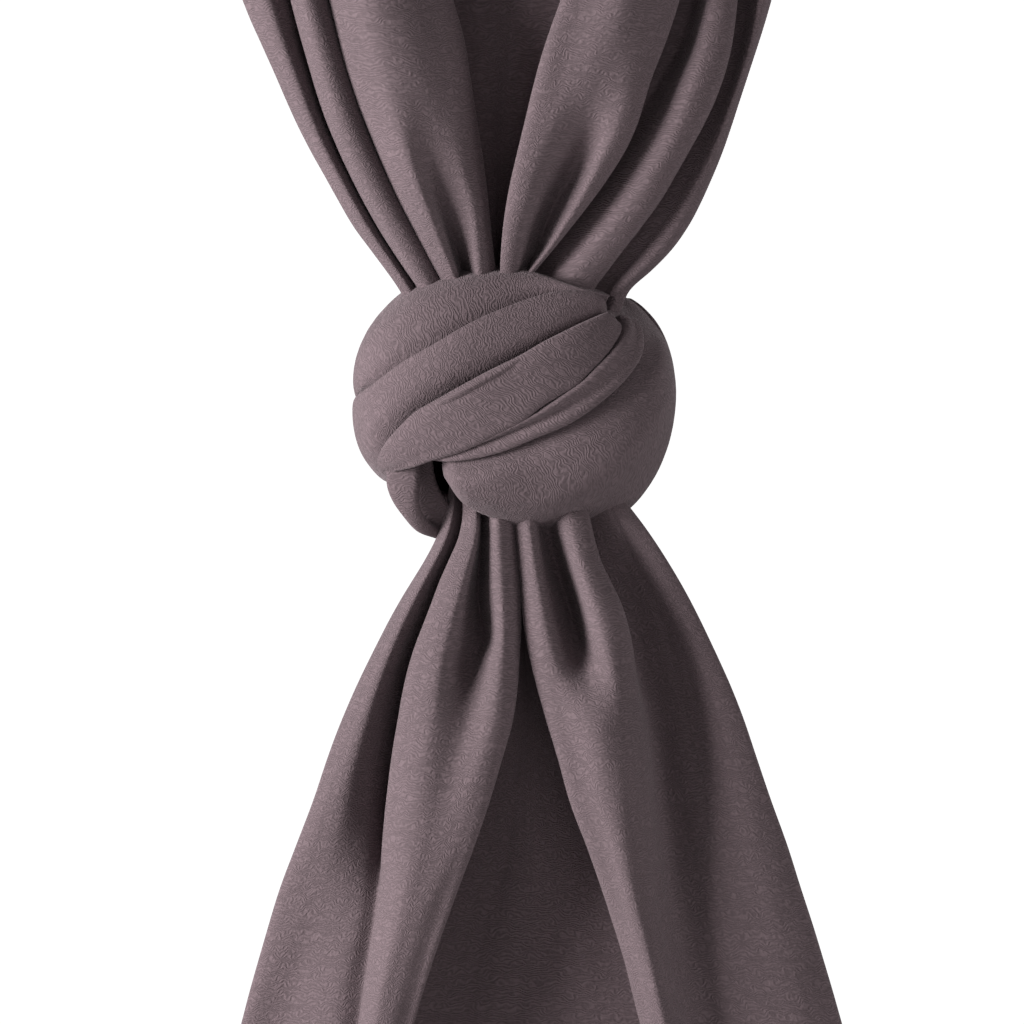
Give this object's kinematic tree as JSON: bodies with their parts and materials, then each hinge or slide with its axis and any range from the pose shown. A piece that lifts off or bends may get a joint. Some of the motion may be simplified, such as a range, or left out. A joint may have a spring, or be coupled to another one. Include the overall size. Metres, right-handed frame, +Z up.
{
  "type": "baby wrap sling",
  "caption": "Long soft woven cloth wrap for carrying a baby, folded over a rod and tied in one large knot, with two fanned tails hanging below.",
  "frame": {"origin": "axis of the rod that the top fold lies over, 1.5 mm right of the middle of the knot", "axes": "+Z up, +X along the rod to the right seen from the front, the front of the knot faces -Y"},
  "size_m": [0.3841, 0.12, 0.8927],
  "materials": {
    "wrap_cloth": "matt crepe-like woven cloth, dusty mauve taupe",
    "sewing_thread": "matt sewing thread, a shade darker than the cloth",
    "label_tape": "blank off-white woven tape"
  },
  "bodies": {
    "top_fold": {"inner_top_fold": "wrap_cloth", "outer_top_fold": "wrap_cloth"},
    "upper_drape": {"upper_left_drape": "wrap_cloth", "upper_right_drape": "wrap_cloth", "upper_back_drape": "wrap_cloth"},
    "knot": {"knot_core": "wrap_cloth", "knot_upper_left_lobe": "wrap_cloth", "knot_top_band": "wrap_cloth", "knot_middle_band": "wrap_cloth", "knot_lower_band": "wrap_cloth", "knot_lower_right_lobe": "wrap_cloth", "knot_tuck_loop": "wrap_cloth", "knot_back_upper_wrap": "wrap_cloth", "knot_back_middle_wrap": "wrap_cloth", "knot_back_lower_wrap": "wrap_cloth"},
    "front_tails": {"front_outer_tail_left": "wrap_cloth", "front_outer_tail_right": "wrap_cloth", "front_inner_tail": "wrap_cloth", "front_outer_end_hem": "wrap_cloth", "front_inner_end_hem": "wrap_cloth", "front_outer_hem_stitching": "sewing_thread", "front_inner_hem_stitching": "sewing_thread", "front_left_side_hem": "wrap_cloth", "front_right_side_hem": "wrap_cloth", "label_stitching": "sewing_thread"},
    "back_tail": {"back_tail": "wrap_cloth", "back_tail_bottom_fold": "wrap_cloth", "middle_marker": "label_tape"},
    "label": {"care_label": "label_tape"}
  },
  "joints": [
    {"name": "hang_swing", "type": "hinge", "parent": "top_fold", "child": "upper_drape", "pos_m": [0, 0, 0], "axis": [1, 0, 0], "range_deg": [-20, 20]},
    {"name": "knot_sway", "type": "hinge", "parent": "upper_drape", "child": "knot", "pos_m": [0, 0, -0.262], "axis": [0, 1, 0], "range_deg": [-8, 8]},
    {"name": "front_tail_lift", "type": "hinge", "parent": "knot", "child": "front_tails", "pos_m": [0, -0.014, -0.408], "axis": [-1, 0, 0], "range_deg": [0, 25]},
    {"name": "back_tail_lift", "type": "hinge", "parent": "knot", "child": "back_tail", "pos_m": [0, 0.014, -0.408], "axis": [1, 0, 0], "range_deg": [0, 25]},
    {"name": "label_flip", "type": "hinge", "parent": "front_tails", "child": "label", "pos_m": [0.12, -0.0484, -0.8408], "axis": [1, 0, 0], "range_deg": [-70, 70]}
  ]
}
